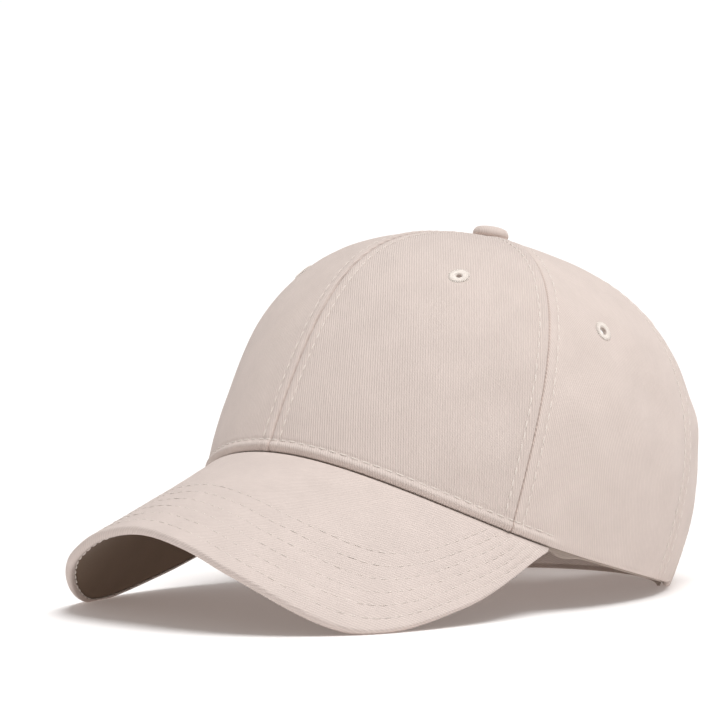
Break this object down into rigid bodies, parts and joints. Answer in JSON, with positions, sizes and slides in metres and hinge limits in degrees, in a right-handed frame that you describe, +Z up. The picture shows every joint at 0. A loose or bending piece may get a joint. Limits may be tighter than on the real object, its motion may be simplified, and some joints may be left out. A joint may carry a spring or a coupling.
{
  "type": "ponytail baseball cap",
  "caption": "Panelled cotton cap with a curved peak, a ponytail slit above an open rear arch and a closing strap.",
  "frame": {"origin": "on the table, under the middle of the resting cap's box", "axes": "+Z up, the peak towards -Y, the wearer's left towards +X"},
  "size_m": [0.169, 0.277, 0.1433],
  "materials": {
    "twill": "pale pinkish beige cotton twill, brushed, matt",
    "peak_twill": "the same twill over a board, matt",
    "band": "plain cotton tape, matt",
    "strap": "doubled twill strap, matt",
    "thread": "cotton thread with a slight sheen"
  },
  "bodies": {
    "root": {"front_panel_left": "twill", "front_panel_right": "twill", "side_panel_left": "twill", "side_panel_right": "twill", "back_panel_left": "twill", "back_panel_right": "twill", "slit_facing_left": "twill", "slit_facing_right": "twill", "arch_binding": "twill", "button": "twill", "peak_top_cover": "peak_twill", "peak_underside": "peak_twill", "sweatband": "band", "strap_long": "strap", "strap_tab": "strap", "eyelet_front_left": "thread", "eyelet_front_right": "thread", "eyelet_side_left": "thread", "eyelet_side_right": "thread", "eyelet_back_left": "thread", "eyelet_back_right": "thread"}
  },
  "joints": []
}
